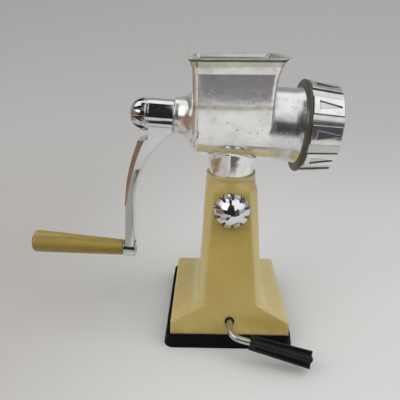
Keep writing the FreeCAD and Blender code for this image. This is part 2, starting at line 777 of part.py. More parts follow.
def grinder_body():
    """One casting: barrel and crank boss on the worm's axis, hopper above and post below."""
    k = BARREL_CORNER * (1 - sin(radians(45)))
    shoulder_end = COLLAR_BACK - RUN
    shoulder_dip = ((SHOULDER_START + shoulder_end) / 2, BARREL_RADIUS + SHOULDER_RISE / 4)
    barrel = turned([
        (BARREL_BACK, 0), (BARREL_BACK, BARREL_RADIUS - BARREL_CORNER),
        ((BARREL_BACK + k, BARREL_RADIUS - k), (BARREL_BACK + BARREL_CORNER, BARREL_RADIUS)),
        (SHOULDER_START, BARREL_RADIUS), (shoulder_dip, (shoulder_end, BARREL_RADIUS + SHOULDER_RISE)),
        (shoulder_end, BARREL_RADIUS), (BARREL_END, BARREL_RADIUS), (BARREL_END, 0),
    ])
    boss = turned([
        (BOSS_END, 0), (BOSS_END, BOSS_RADIUS - BOSS_BREAK), (BOSS_END + BOSS_BREAK, BOSS_RADIUS),
        BOSS_NECK, (BOSS_HOLLOW, BOSS_SPREAD), BOSS_FLARE, (BOSS_FLARE[0], 0),
    ])
    post = rod_z(POST_RADIUS, POST_BOTTOM, AXIS_Z)
    body = fused([on_axis(barrel), on_axis(boss), post])

    def on_saddle(edge):
        middle = edge.CenterOfMass
        return middle.z > SOCKET_TOP and abs(middle.x) < SADDLE and edge.BoundBox.ZMax < AXIS_Z - OVER

    body = body.makeFillet(SADDLE, [edge for edge in body.Edges if on_saddle(edge)])
    reach = 2 * BARREL_RADIUS
    touch = -BARREL_RADIUS * sin(radians(HOPPER_LEAN))
    below_touch = on_axis(block((-reach, -reach, -reach), (reach, reach, touch)))
    body = fused([body, hopper_solid(0, AXIS_Z - 3 * OVER).cut(below_touch)])

    body = body.cut(hopper_solid(HOPPER_WALL, AXIS_Z))
    bore = rod_x(BARREL_BORE, BORE_BACK, BARREL_END).fuse(rod_x(PLATE_SEAT, PLATE_BACK, BARREL_END))
    bore = bore.fuse(rod_x(BUSH_RADIUS, BOSS_END, BORE_BACK))
    body = body.cut(on_axis(bore)).cut(plate_key())
    return body.cut(rod_z(POST_RADIUS - POST_WALL, POST_BOTTOM, POST_CORE_TOP))


def shaft_bush():
    sleeve = rod_x(BUSH_RADIUS, BOSS_END, BORE_BACK)
    return on_axis(sleeve.cut(rod_x(SHANK_RADIUS + RUN, BOSS_END, BORE_BACK)))


def thrust_washer():
    end = WORM_BACK - PLAY
    return on_axis(rod_x(WASHER_RADIUS, BORE_BACK, end).cut(rod_x(SHANK_RADIUS + RUN, BORE_BACK, end)))


# Worm, knife and plate

def auger():
    """Worm with a tapered core, its shank through the boss and a square end that drives the knife."""
    thin, thick = WORM_CORE
    core = turned([(WORM_BACK, 0), (WORM_BACK, thin), (WORM_FRONT, thick), (WORM_FRONT, 0)])
    helix = Part.makeHelix(WORM_PITCH, WORM_FRONT - WORM_BACK - WORM_ROOT, thin)
    sunk = thin - WORM_SINK
    thread = outline([
        (sunk, -WORM_ROOT / 2), (WORM_RADIUS, -WORM_LAND / 2),
        (WORM_RADIUS, WORM_LAND / 2), (sunk, WORM_ROOT / 2),
    ], lambda radius, along: Vector(radius, 0, along))
    flight = Part.Wire(helix.Edges).makePipeShell([thread], True, True)
    flight.rotate(Vector(), Vector(0, 1, 0), 90)
    flight.translate(Vector(WORM_BACK + WORM_ROOT / 2, 0, 0))
    shank = rod_x(SHANK_RADIUS, HUB_FACES[1], WORM_BACK)
    tip = rod_x(SHANK_TIP_RADIUS, HUB_FACES[0] - SHANK_TIP_REACH, HUB_FACES[1])
    square_end = PLATE_BACK - PLAY
    square = block((WORM_FRONT, -SQUARE_HALF, -SQUARE_HALF), (square_end, SQUARE_HALF, SQUARE_HALF))
    pilot = rod_x(PILOT_RADIUS, square_end, BARREL_END)
    return on_axis(fused([core, flight, shank, tip, square, pilot]))


def knife():
    """Cross of four blades, each ground back behind its cutting edge."""
    start = WORM_FRONT + PLAY
    end = PLATE_BACK - GAP
    plan = outline([
        (KNIFE_ROOT[0], 0), (KNIFE_ROOT[1], 0), (KNIFE_TIP[1], KNIFE_REACH), (KNIFE_TIP[0], KNIFE_REACH),
    ], lambda across, out: Vector(start, across, out))
    heel = KNIFE_ROOT[0] - KNIFE_GRIND
    grind = outline([(start - 1, heel), (start - 1, KNIFE_GRIND), (start + KNIFE_GRIND, heel)],
                    lambda along, across: Vector(along, across, KNIFE_HUB + KNIFE_GRIND))
    blade = Part.Face(plan).extrude(Vector(end - start, 0, 0))
    blade = blade.cut(Part.Face(grind).extrude(Vector(0, 0, KNIFE_REACH)))
    cross = fused([rod_x(KNIFE_HUB, start, end)] + [around_x(blade, 90 * step) for step in range(4)])
    hole = block((start, -SQUARE_HALF, -SQUARE_HALF), (end, SQUARE_HALF, SQUARE_HALF))
    return on_axis(cross.cut(hole))


def grinding_plate():
    plate = rod_x(PLATE_SEAT - RUN, PLATE_BACK, PLATE_FRONT)
    plate = plate.cut(rod_x(PILOT_RADIUS + RUN, PLATE_BACK, PLATE_FRONT))
    for count, ring in PLATE_RINGS:
        for step in range(count):
            hole = rod_x(PLATE_HOLE, PLATE_BACK, PLATE_FRONT)
            hole.translate(Vector(0, 0, ring))
            plate = plate.cut(around_x(hole, 360 * step / count))
    return on_axis(plate).cut(plate_key())


def plate_key():
    """Pin at the top of the seat, half in the barrel and half in the plate."""
    key = rod_x(KEY_RADIUS, PLATE_BACK, BARREL_END)
    key.translate(Vector(0, 0, PLATE_SEAT))
    return on_axis(key)


# Outlet rings

def collar_ring():
    bore = BARREL_RADIUS + RUN
    middle = COLLAR_BACK + COLLAR_THICK / 2
    front = COLLAR_BACK + COLLAR_THICK
    edge = COLLAR_RADIUS - COLLAR_THICK / 2
    return on_axis(turned([
        (COLLAR_BACK, bore), (COLLAR_BACK, edge), ((middle, COLLAR_RADIUS), (front, edge)), (front, bore),
    ]))


def nut_radius(along):
    return mix(NUT_RADIUS, (along - NUT_BACK) / (NUT_FRONT - NUT_BACK))


def ring_nut():
    """Tapered nut: raised lands in a ring, each with a wedge-shaped recess that points at the outlet."""
    back, front = NUT_RADIUS
    valley = NUT_LAND_RISE
    throat = PLATE_FRONT + PLAY
    bore = BARREL_RADIUS + RUN
    nut = turned([
        (NUT_BACK, bore), (NUT_BACK, back - valley), (NUT_FRONT, front - valley),
        (NUT_FRONT, NUT_MOUTH + NUT_DISH), (throat + NUT_LIP, NUT_MOUTH), (throat, NUT_MOUTH), (throat, bore),
    ])
    brow = NUT_FRONT - 1
    profile = Part.Face(outline([
        (NUT_BACK, back - 2 * valley), (NUT_BACK, back - EDGE_BREAK), (NUT_BACK + EDGE_BREAK, back),
        (brow, nut_radius(brow)), (NUT_FRONT, front - valley), (NUT_FRONT, front - 2 * valley),
    ], lambda along, radius: Vector(along, 0, radius)))
    land = profile.revolve(Vector(), Vector(1, 0, 0), NUT_LAND_ANGLE)
    land.rotate(Vector(), Vector(1, 0, 0), -NUT_LAND_ANGLE / 2)
    wide, narrow = WEDGE_HALF
    start, end = WEDGE_SPAN
    floor = outline([(start, -wide), (end, -narrow), (end, narrow), (start, wide)],
                    lambda along, across: Vector(along, across, nut_radius(along) - WEDGE_DEPTH))
    wedge = Part.Face(floor).extrude(Vector(0, 0, OVER))
    turns = [NUT_LAND_START + 360 * step / NUT_LANDS for step in range(NUT_LANDS)]
    nut = fused([nut] + [around_x(land.cut(wedge), turn) for turn in turns])
    for turn in turns:
        nut = nut.cut(around_x(wedge, turn))
    return on_axis(nut)


# Crank, hanging straight down in the worm's frame

def arm_half_width(up):
    return mix(ARM_HALF_WIDTH, max(0.0, (ARM_SHOULDER - up) / (ARM_SHOULDER + ARM_THROW)))


def arm_bevel(side):
    """Cutter for the wide bevel on the blade's outer edge, which fades where the blade turns straight."""
    bow_points = ((ARM_FACES[0], ARM_STRAIGHT), ARM_OUTER_BOW, ARM_OUTER_TOP)
    bow = Part.Arc(*[Vector(x, 0, z) for x, z in bow_points]).toShape().Curve
    rings = []
    for step in range(ARM_BEVEL_STEPS + 1):
        t = step / ARM_BEVEL_STEPS
        up = mix((SEAT_LEDGE + OVER, ARM_STRAIGHT - OVER), t)
        face = bow.Center.x - (bow.Radius ** 2 - (up - bow.Center.z) ** 2) ** 0.5
        width = arm_half_width(up)
        size = ARM_BEVEL * (1 - t) ** ARM_BEVEL_FADE + OVER
        corner = [(face - OVER, width + OVER), (face + size, width + OVER), (face - OVER, width - size)]
        rings.append(polygon([(x, side * y) for x, y in corner], up))
    return loft(rings, ruled=False)


def crank_arm():
    """Casting with a hub, a blade that sweeps outwards and narrows, and an eye for the grip's pin."""
    left, right = HUB_FACES
    outer, inner = ARM_FACES
    edge = outline([
        (right, 0), (right, 1 - HUB_RADIUS), (ARM_INNER_BOW, (inner, ARM_STRAIGHT)), (inner, -ARM_THROW),
        (outer, -ARM_THROW), (outer, ARM_STRAIGHT), (ARM_OUTER_BOW, ARM_OUTER_TOP), SEAT_CURL,
        (left - 0.8, SEAT_LEDGE), (left, SEAT_LEDGE + 1.2), (left, 0),
    ], lambda along, up: Vector(along, -HUB_RADIUS, up))
    blade = Part.Face(edge).extrude(Vector(0, 2 * HUB_RADIUS, 0))
    wide, narrow = ARM_HALF_WIDTH
    start = EYE_FACES[0] - OVER
    front = outline([
        (-wide, 0), (-wide, ARM_SHOULDER), (-narrow, -ARM_THROW),
        (narrow, -ARM_THROW), (wide, ARM_SHOULDER), (wide, 0),
    ], lambda across, up: Vector(start, across, up))
    blade = blade.common(Part.Face(front).extrude(Vector(OVER + right - start, 0, 0)))

    def along_blade(edge):
        box = edge.BoundBox
        return box.ZMin < ARM_STRAIGHT + OVER and box.ZMax > ARM_STRAIGHT - OVER and box.YLength < OVER

    blade = blade.makeFillet(ARM_EDGE, [edge for edge in blade.Edges if along_blade(edge)])
    blade = blade.cut(arm_bevel(-1)).cut(arm_bevel(1))
    hub = rod_x(HUB_RADIUS, left, right)
    eye = rod_x(EYE_RADIUS, *EYE_FACES)
    eye = eye.makeChamfer(EYE_BREAK, [e for e in eye.Edges if e.Closed and len(e.Vertexes) == 1])
    eye.translate(Vector(0, 0, -ARM_THROW))
    pin_hole = rod_x(PIN_RADIUS, *EYE_FACES)
    pin_hole.translate(Vector(0, 0, -ARM_THROW))
    arm = fused([blade, hub, eye]).cut(pin_hole)
    return on_axis(arm.cut(rod_x(SHANK_TIP_RADIUS, left, right)))


def nut_washer():
    face = HUB_FACES[0]
    ring = rod_x(NUT_WASHER_RADIUS, face - NUT_WASHER_THICK, face)
    return on_axis(ring.cut(rod_x(SHANK_TIP_RADIUS, face - NUT_WASHER_THICK, face)))


def crank_nut():
    """Dome nut with tapered notches in its shoulder, blind over the shank's tip."""
    dome = domed(0, DOME_LENGTH, DOME_RADIUS, DOME_SKIRT, DOME_KNUCKLE)
    notch = tapered_notch(*DOME_NOTCH, DOME_NOTCH_RADIUS)
    dome = fluted(dome, DOME_FLUTES, around_x(notch, DOME_TURN))
    dome = dome.cut(rod_x(SHANK_TIP_RADIUS, 0, SHANK_TIP_REACH - NUT_WASHER_THICK))
    seat = Vector(HUB_FACES[0] - NUT_WASHER_THICK, 0, 0)
    dome.Placement = Placement(seat, Rotation(Vector(0, 0, 1), 180))
    return on_axis(dome)


def on_grip(shape):
    """Moves a shape from the grip's own frame, X out along the grip, to its place."""
    start = Vector(GRIP_START, 0, -ARM_THROW)
    shape.Placement = WORM_FRAME * Placement(start, Rotation(Vector(0, 0, 1), 180))
    return shape


def crank_grip():
    """Tapered grip with a crowned end and a blind hole that snaps over the pin's head."""
    small, large = GRIP_RADIUS
    end = GRIP_LENGTH
    rim = end - GRIP_CROWN
    crown_radius = large - GRIP_SHOULDER
    hole = PIN_RADIUS + RUN
    pocket = PIN_SNAP + RUN
    return on_grip(turned([
        (0, hole), (0, small - EDGE_BREAK), (EDGE_BREAK, small),
        ((end / 2, mix(GRIP_RADIUS, GRIP_BELLY)), (end - GRIP_SHOULDER, large)),
        ((end - GRIP_KNUCKLE, large - GRIP_KNUCKLE), (rim, crown_radius)), crown(rim, crown_radius, end),
        (POCKET_END, 0), (POCKET_END, pocket), (POCKET_START, pocket), (POCKET_START - 1, hole),
    ]))


def grip_pin():
    """Pin riveted in the eye, with a snap head that holds the grip."""
    rivet = GRIP_START - EYE_FACES[1]
    rivet_end = rivet - PIN_HEAD
    neck, ridge, nose = SNAP_ALONG
    return on_grip(turned([
        (rivet_end, 0), (rivet_end, PIN_HEAD_RADIUS[0]), (rivet, PIN_HEAD_RADIUS[1]), (rivet, PIN_RADIUS),
        (neck, PIN_RADIUS), (ridge, PIN_SNAP), (nose, PIN_SNAP), (PIN_REACH, SNAP_NOSE), (PIN_REACH, 0),
    ]))


NODES = (
    base_housing, base_pad, base_plate, base_screws, suction_cup, cup_plate, cup_stem, stem_guide,
    return_spring, lever_rod, lever_grip, lever_bush, lever_clip, lift_cam, clamp_knob, clamp_stud,
    clamp_insert, clamp_shoe, grinder_body, shaft_bush, thrust_washer, auger, knife, grinding_plate,
    plate_key, collar_ring, ring_nut, crank_arm, nut_washer, crank_nut, crank_grip, grip_pin,
)

os.makedirs("parts", exist_ok=True)
for node in NODES:
    shape = node()
    shape.exportStep("parts/" + node.__name__ + ".step")
    print(node.__name__, "solids", len(shape.Solids), "volume", round(shape.Volume))
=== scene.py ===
# %% [markdown]
# # A hand-cranked food grinder, dressed for its portrait
# The shapes of this grinder come from a mechanical model, in metres, with +Z up, +X towards the outlet and
# -Y towards the viewer. Our job is what the eye adds: metal, enamel, rubber, light and a camera. We could
# model the pieces again in Blender, but then two sets of shapes would drift apart. So we load that model
# and never move it.

# %% The model as it arrives
import json
from math import cos, pi, radians, sin

import bmesh
import bpy
from mathutils import Matrix, Vector


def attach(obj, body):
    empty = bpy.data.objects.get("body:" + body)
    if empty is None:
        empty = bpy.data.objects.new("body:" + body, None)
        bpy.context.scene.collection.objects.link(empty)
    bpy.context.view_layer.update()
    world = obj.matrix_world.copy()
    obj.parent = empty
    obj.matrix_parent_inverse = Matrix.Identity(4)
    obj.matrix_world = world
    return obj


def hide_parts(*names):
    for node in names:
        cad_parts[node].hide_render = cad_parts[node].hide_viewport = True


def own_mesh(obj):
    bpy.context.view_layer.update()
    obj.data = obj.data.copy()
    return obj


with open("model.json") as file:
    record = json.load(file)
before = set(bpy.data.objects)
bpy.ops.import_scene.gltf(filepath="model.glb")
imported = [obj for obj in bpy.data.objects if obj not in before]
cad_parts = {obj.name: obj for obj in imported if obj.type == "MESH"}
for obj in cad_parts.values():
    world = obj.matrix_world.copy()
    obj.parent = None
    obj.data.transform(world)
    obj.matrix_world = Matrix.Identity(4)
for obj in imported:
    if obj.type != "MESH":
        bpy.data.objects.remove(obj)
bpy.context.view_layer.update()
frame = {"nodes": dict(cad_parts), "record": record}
nodes = frame["nodes"]

# %% [markdown]
# ## Numbers that flow through a material
# A shader is a web of nodes. Even a sum such as 1 - dirt * 0.4 takes two of them, which by hand is slow to
# wire and slower to read. One small class wraps an output socket and teaches it Python's arithmetic, so a
# formula typed as a formula becomes Math nodes. The reflected forms, such as __rsub__, let a plain number
# come first.

# %% The flow class
def plug(tree, socket, value):
    """Links a flowing value to a socket, or types a plain one into it."""
    if isinstance(value, Flow):
        tree.links.new(value.socket, socket)
    else:
        socket.default_value = value


class Flow:
    """A value on its way through a material; arithmetic on it adds Math nodes."""

    def __init__(self, tree, socket):
        self.tree = tree
        self.socket = socket

    def math(self, operation, first, second):
        node = self.tree.nodes.new("ShaderNodeMath")
        node.operation = operation
        plug(self.tree, node.inputs[0], first)
        plug(self.tree, node.inputs[1], second)
        return Flow(self.tree, node.outputs["Value"])

    def __add__(self, other):
        return self.math("ADD", self, other)

    def __radd__(self, other):
        return self.math("ADD", other, self)

    def __sub__(self, other):
        return self.math("SUBTRACT", self, other)

    def __rsub__(self, other):
        return self.math("SUBTRACT", other, self)

    def __mul__(self, other):
        return self.math("MULTIPLY", self, other)

    def __rmul__(self, other):
        return self.math("MULTIPLY", other, self)

    def __pow__(self, other):
        return self.math("POWER", self, other)

    def __rpow__(self, other):
        return self.math("POWER", other, self)


print("Flow turns +, -, * and ** into Math nodes")

# %% [markdown]
# ## Colours from a paint card
# A paint card, like a screen, counts colour from 0 to 255 in steps that look even to the eye. Blender
# counts light, and the middle of the card is only about a fifth of the light. We could type amounts of
# light, but nobody can picture those. So we write the card's numbers and turn them into light with the
# curve that screens use.

# %% Paint card
def paint(red, green, blue):
    """A paint card's colour, 0 to 255, as linear RGBA."""
    def linear(level):
        share = level / 255
        return share / 12.92 if share <= 0.04045 else ((share + 0.055) / 1.055) ** 2.4

    return (linear(red), linear(green), linear(blue), 1.0)


print("a mid grey card gives back", [round(v, 3) for v in paint(128, 128, 128)[:3]], "of the light")

# %% [markdown]
# ## One bench for every finish
# Each finish on the grinder needs the same few tools: a soft step, a blend of two colours, a measure of how
# well two directions agree. Every material could wire its own. We lay the tools out on one workbench
# instead, so that a recipe reads like a recipe. The node method makes any other node, from its type, its
# settings and what goes into its sockets.

# %% The bench
class Bench:
    """A node tree and the tools to fill it."""

    def __init__(self, tree):
        self.tree = tree

    def node(self, kind, settings=None, inputs=None, output=0):
        made = self.tree.nodes.new(kind)
        for name, value in (settings or {}).items():
            setattr(made, name, value)
        for name, value in (inputs or {}).items():
            plug(self.tree, made.inputs[name], value)
        return Flow(self.tree, made.outputs[output])

    def step(self, value, low, high):
        """Rises smoothly from 0 at low to 1 at high."""
        return self.node("ShaderNodeMapRange", {"interpolation_type": "SMOOTHSTEP"},
                         {"Value": value, "From Min": low, "From Max": high})

    def blend(self, share, first, second):
        """The first colour, with a share of the second."""
        return self.node("ShaderNodeMix", {"data_type": "RGBA"}, {0: share, 6: first, 7: second}, 2)

    def dot(self, first, second):
        """How well two directions agree: 1 when they are the same, -1 when they are opposite."""
        return self.node("ShaderNodeVectorMath", {"operation": "DOT_PRODUCT"}, {0: first, 1: second}, "Value")


print("bench tools:", [tool for tool in vars(Bench) if not tool.startswith("_")])

# %% [markdown]
# ## What a finish can feel
# A real finish depends on where it is. Hands rub edges bare and dust lies on what faces up. Shade in grooves
# and light on edges are painted into the colour too. Masks painted by hand would do, but they are tied to one
# mesh. Blender can measure these things while it renders: object coordinates give the place in metres, the
# Bevel node rounds the normal near an edge, and Ambient Occlusion tells how close other surfaces are. So our
# finish is a bench with a Principled shader and these senses.

# %% The finish
class Finish(Bench):
    """A material on the bench: its Principled shader and the piece's own coordinates."""

    def __init__(self, name, **constants):
        self.material = bpy.data.materials.new(name)
        self.material.use_nodes = True
        super().__init__(self.material.node_tree)
        self.surface = self.tree.nodes["Principled BSDF"]
        for socket, value in constants.items():
            self.surface.inputs[socket.replace("_", " ")].default_value = value
        self.place = self.node("ShaderNodeTexCoord", output="Object")

    def coordinate(self, axis):
        return self.node("ShaderNodeSeparateXYZ", None, {"Vector": self.place}, axis)

    def facing(self, direction):
        """How squarely the bare face looks in a direction."""
        return self.dot(self.node("ShaderNodeNewGeometry", output="Normal"), direction)

    def noise(self, scale, detail=3.0, stretch=(1, 1, 1)):
        """Clouds around 0.5, with about scale of them to the metre."""
        where = self.node("ShaderNodeVectorMath", {"operation": "MULTIPLY"}, {0: self.place, 1: stretch})
        return self.node("ShaderNodeTexNoise", None,
                         {"Vector": where, "Scale": scale, "Detail": detail, "Roughness": 0.55}, "Fac")

    def soft_edges(self, radius):
        """The normal as if edges were rounded by a radius."""
        return self.node("ShaderNodeBevel", {"samples": 6}, {"Radius": radius}, "Normal")

    def edge_mask(self, soft):
        """Near 1 along edges, 0 on flats: there the rounded normal leaves the face's own."""
        return self.step(1 - self.facing(soft), 0.01, 0.22)

    def crevice(self, reach, closed=0.55, open_air=0.92):
        """Near 1 in inner corners and grooves, where other surface lies within reach; 0 in the open."""
        open_sky = self.node("ShaderNodeAmbientOcclusion", {"samples": 8, "only_local": True},
                             {"Distance": reach}, "AO")
        return 1 - self.step(open_sky, closed, open_air)

    def feed(self, socket, value):
        plug(self.tree, self.surface.inputs[socket], value)

    def bump(self, height, distance, soft):
        """Relief of a height from 0 to 1, where 1 is a distance in metres, on softened edges."""
        self.feed("Normal", self.node("ShaderNodeBump", None,
                                      {"Height": height, "Distance": distance, "Normal": soft}))


def wear(node, finish):
    """Puts a finish on a piece of the model."""
    slots = nodes[node].data.materials
    slots.clear()
    slots.append(finish.material)


print("finish tools:", [tool for tool in vars(Finish) if not tool.startswith("_")])

# %% [markdown]
# ## Polished cast aluminium
# The hopper, barrel and post are one casting, ground on a belt and buffed on a wheel. That leaves its
# marks: a gentle waviness that bends reflections, fine wheel lines, smudges, and pinholes where gas sat in
# the metal. One noise for everything would look like plastic foil, so each mark gets its own noise, at its
# own size. Some marks belong only to certain places. Those may be handed in as functions, which the finish
# calls to find out how much of a mark there is at a spot.

# %% Casting finish
CAST_EDGE = 0.0008
CAST_CORNER = 0.0022
CAST_RELIEF = 0.0005
PINHOLE_CELLS = 170.0
WHEEL_WAY = (1, 6, 6)
SMUDGED = paint(196, 194, 189)
CAST_SKIN = paint(118, 120, 128)
PAINTED_YELLOW_REFLECTION = paint(150, 136, 84)
PINHOLE = paint(70, 68, 64)
PAINTED_CREVICE_SHADE = paint(46, 43, 38)


def polished_casting(name, colour, roughness, wave_depth, pits=0.0, haze=0.0, dull=0.0, lip_shade=0.0, yellow_reflection=0.0):
    """Buffed aluminium, darkened by painted shade in corners and grooves. haze and dull are shares of
    scattered light and of dark unbuffed skin; the next two are shares of a painted shade line under the lip
    and of a painted yellow reflection. Each of them, and roughness, is a number or a function that takes the
    finish."""
    finish = Finish(name)
    marks = (roughness, haze, dull, lip_shade, yellow_reflection)
    roughness, haze, dull, lip_shade, yellow_reflection = [mark(finish) if callable(mark) else mark for mark in marks]
    soft = finish.soft_edges(CAST_EDGE)
    smudge = finish.step(finish.noise(38, 4), 0.40, 0.72)
    mottle = finish.step(finish.noise(130, 4), 0.42, 0.70)
    lines = finish.noise(420, 2, WHEEL_WAY)
    cells = finish.node("ShaderNodeTexVoronoi", None,
                        {"Vector": finish.place, "Scale": PINHOLE_CELLS}, "Distance")
    ragged = cells + (finish.noise(1400, 2) - 0.5) * 0.16
    pit = (1 - finish.step(ragged, 0.03, 0.12)) * finish.step(finish.noise(46, 2), 0.38, 0.48) * pits
    # Painted shade: darker where other surface lies near, in corners and grooves, and along the painted shade
    # line under the lip.
    painted_shade = finish.crevice(CAST_CORNER) + lip_shade
    tone = finish.blend(smudge * 0.3 + mottle * 0.3, colour, SMUDGED)
    tone = finish.blend(dull, tone, CAST_SKIN)
    # Painted reflection: yellow bands under the flare and at the wall's foot.
    tone = finish.blend(yellow_reflection, tone, PAINTED_YELLOW_REFLECTION)
    tone = finish.blend(pit * 0.7, tone, PINHOLE)
    finish.feed("Base Color", finish.blend(painted_shade * 0.85, tone, PAINTED_CREVICE_SHADE))
    scuffs = smudge * 0.04 + (lines - 0.5) * 0.05 + pit * 0.35
    finish.feed("Roughness", scuffs + painted_shade * 0.3 + haze * 0.2 + dull * 0.1 + roughness)
    finish.feed("Metallic", 1 - haze)
    finish.bump(finish.noise(55, 2) * wave_depth + lines * 0.02 - pit * 0.5, CAST_RELIEF, soft)
    return finish


raw_aluminium = polished_casting("raw_aluminium", paint(198, 198, 196), roughness=0.32,
                                 wave_depth=0.9, pits=1.0)
wear("auger", raw_aluminium)
print("the worm, left as cast, takes", len(raw_aluminium.tree.nodes), "nodes")

# %% [markdown]
# ## Where the wheel reached
# A buffing wheel is large and round. It brings the post to a mirror, presses less on the long barrel and
# the boss, and never gets inside the hopper. The flat hopper walls keep a haze of fine scratches that
# scatters light in all directions, which a metal in Blender shows when its Metallic value is less than one.
# Separate materials on chosen faces would meet in hard borders. Soft steps on the casting's own coordinates
# fade one kind of polish into the next.

# %% Wheel marks
# Each border is a pair of metres: where one kind of polish ends, and where the next is complete.
BOSS_BORDER = (-0.047, -0.041)
BARREL_BORDER = (0.026, 0.040)
HAZE_LEFT = (-0.045, -0.038)
HAZE_RIGHT = (0.033, 0.039)
HAZE_BOTTOM = (0.186, 0.194)
SKIN_BOTTOM = (0.245, 0.255)
SKIN_TOP = (0.2747, 0.2752)
SKIN_RIGHT = (0.030, 0.042)
# This pair is how far a face looks up, from -1 to 1.
TURNED_UP = (-0.05, 0.2)


def wheel_roughness(finish):
    """Sharp on the post and the hopper, softer at the barrel's end, softest on the boss."""
    x = finish.coordinate("X")
    barrel_end = finish.step(x, *BARREL_BORDER)
    boss = 1 - finish.step(x, *BOSS_BORDER)
    return 0.055 + barrel_end * 0.155 + boss * 0.22


def hopper_haze(finish):
    """On the hopper and the barrel under it; none on the boss, the post and the bright barrel end."""
    x = finish.coordinate("X")
    between = finish.step(x, *HAZE_LEFT) * (1 - finish.step(x, *HAZE_RIGHT))
    above_post = finish.step(finish.coordinate("Z"), *HAZE_BOTTOM)
    return between * above_post * (0.11 + finish.noise(30, 3) * 0.14)


def unbuffed(finish):
    """The hopper's inside above the flare, and a little of the barrel's end."""
    z = finish.coordinate("Z")
    inside = finish.step(finish.facing((0, 0, 1)), *TURNED_UP) * finish.step(z, *SKIN_BOTTOM)
    below_lip = 1 - finish.step(z, *SKIN_TOP)
    barrel_end = finish.step(finish.coordinate("X"), *SKIN_RIGHT)
    return inside * below_lip * 0.55 + barrel_end * 0.2


print("wheel marks:", [mark.__name__ for mark in (wheel_roughness, hopper_haze, unbuffed)])

# %% [markdown]
# ## Painted shade and reflection under the lip
# The lip's overhang leaves a dark line of shade right under its edge, which is painted into the colour as a
# line of painted shade. Under the flare and along the line where the wheel turned from wall to barrel, yellow
# bands of painted reflection stand for the gold pedestal and the table's edge seen in the metal. Thin rings
# of extra mesh would make the casting larger. Bands of height in the finish don't, and a noise makes their
# ends uneven.

# %% Painted shade and reflection bands
LIP_SHADE_BAND = (0.2723, 0.2741)
FLARE_REFLECTION_BAND = (0.2680, 0.2724)
WALL_FOOT_REFLECTION_BAND = (0.2326, 0.2366)
REFLECTION_RIGHT_END = (0.034, 0.040)
OUTER_FACES = (0.005, 0.015)


def band(finish, heights, fade):
    """1 between two heights, with soft, uneven ends."""
    low, high = heights
    z = finish.coordinate("Z") + (finish.noise(60, 2) - 0.5) * fade * 3
    return finish.step(z, low - fade, low + fade) * (1 - finish.step(z, high - fade, high + fade))


def painted_lip_shade(finish):
    """A line of painted shade right under the lip's edge."""
    underside = 1 - finish.step(finish.facing((0, 0, 1)), *TURNED_UP)
    return underside * band(finish, LIP_SHADE_BAND, fade=0.0003)


def painted_yellow_bands(finish):
    """Painted yellow reflection: under the flare, and where wall meets barrel."""
    outside = finish.step(finish.facing((0, 1, 0)) * finish.coordinate("Y"), *OUTER_FACES)
    beside_barrel_end = 1 - finish.step(finish.coordinate("X"), *REFLECTION_RIGHT_END)
    patchy = (0.6 + finish.noise(90, 3) * 0.4) * beside_barrel_end
    bands = band(finish, FLARE_REFLECTION_BAND, fade=0.0008) * 0.6 + band(finish, WALL_FOOT_REFLECTION_BAND, fade=0.0012) * 0.55
    return outside * patchy * bands


aluminium = polished_casting("polished_aluminium", paint(250, 250, 249), roughness=wheel_roughness,
                             wave_depth=0.32, pits=1.0, haze=hopper_haze, dull=unbuffed,
                             lip_shade=painted_lip_shade, yellow_reflection=painted_yellow_bands)
wear("grinder_body", aluminium)
# The old polish in this print is the painted shade line under the lip and the painted yellow reflection
# bands.
print("the casting, with its wheel marks and old polish, takes", len(aluminium.tree.nodes), "nodes")

# %% [markdown]
# ## The ring nut
# The ring nut is the same metal, turned on a lathe and then buffed. The wheel slid over its lands and never
# reached the recesses and the gaps between them, which stay dull. We could pick those faces one by one. It
# is shorter to measure how deep a spot lies under the nut's taper, which is a cone round the worm's axis.
# That axis falls by four degrees towards the outlet, so we turn the coordinates by as much.

# %% Ring nut
AXIS_HEIGHT = 0.2164
AXIS_FALL = radians(4)
NUT_BACK = 0.0652
NUT_BACK_RADIUS = 0.0432
NUT_TAPER = 0.105
HOLLOW_TOP = (0.0002, 0.0006)
HOLLOW_FLOOR = (0.002, 0.003)


def nut_hollows(finish):
    """A share of dull skin wherever a spot lies under the nut's tapered face."""
    x, y, z = [finish.coordinate(axis) for axis in "XYZ"]
    rise = z - AXIS_HEIGHT
    above_axis = x * sin(AXIS_FALL) + rise * cos(AXIS_FALL)
    along_axis = x * cos(AXIS_FALL) - rise * sin(AXIS_FALL)
    radius = (y ** 2 + above_axis ** 2) ** 0.5
    depth = NUT_BACK_RADIUS - (along_axis - NUT_BACK) * NUT_TAPER - radius
    hollow = finish.step(depth, *HOLLOW_TOP) * (1 - finish.step(depth, *HOLLOW_FLOOR))
    return hollow * 0.3


turned_aluminium = polished_casting("turned_aluminium", paint(240, 240, 239), roughness=0.12,
                                    wave_depth=0.25, dull=nut_hollows)
wear("ring_nut", turned_aluminium)
print("ring nut dull from", HOLLOW_TOP[0], "to", HOLLOW_FLOOR[1], "m under its taper")

# %% [markdown]
# ## Chrome plate
# The crank, its dome nut and the clamp knob are plated. Chrome is darker and much sharper than buffed
# aluminium: what you see in it is the room. It still isn't perfect. Fingers leave smears, and the flutes are
# painted nearly black as painted shade, where other surface lies close. A smear could be a paler colour, but
# on a real crank it only shows as a change of gloss, so it feeds roughness and hardly touches the colour.

# %% Chrome
PLATE_EDGE = 0.0008
PLATE_WAVES = 0.00025
FLUTE_WIDTH = 0.006
HAIRLINE_WAY = (1, 8, 1)
PLATE = paint(232, 234, 237)
SMEARED_PLATE = paint(214, 213, 210)
PAINTED_FLUTE_SHADE = paint(28, 27, 29)

chrome = Finish("chrome_plate", Metallic=1.0)
soft = chrome.soft_edges(PLATE_EDGE)
smear = chrome.step(chrome.noise(60, 5), 0.45, 0.75)
hairline = chrome.noise(900, 1, HAIRLINE_WAY)
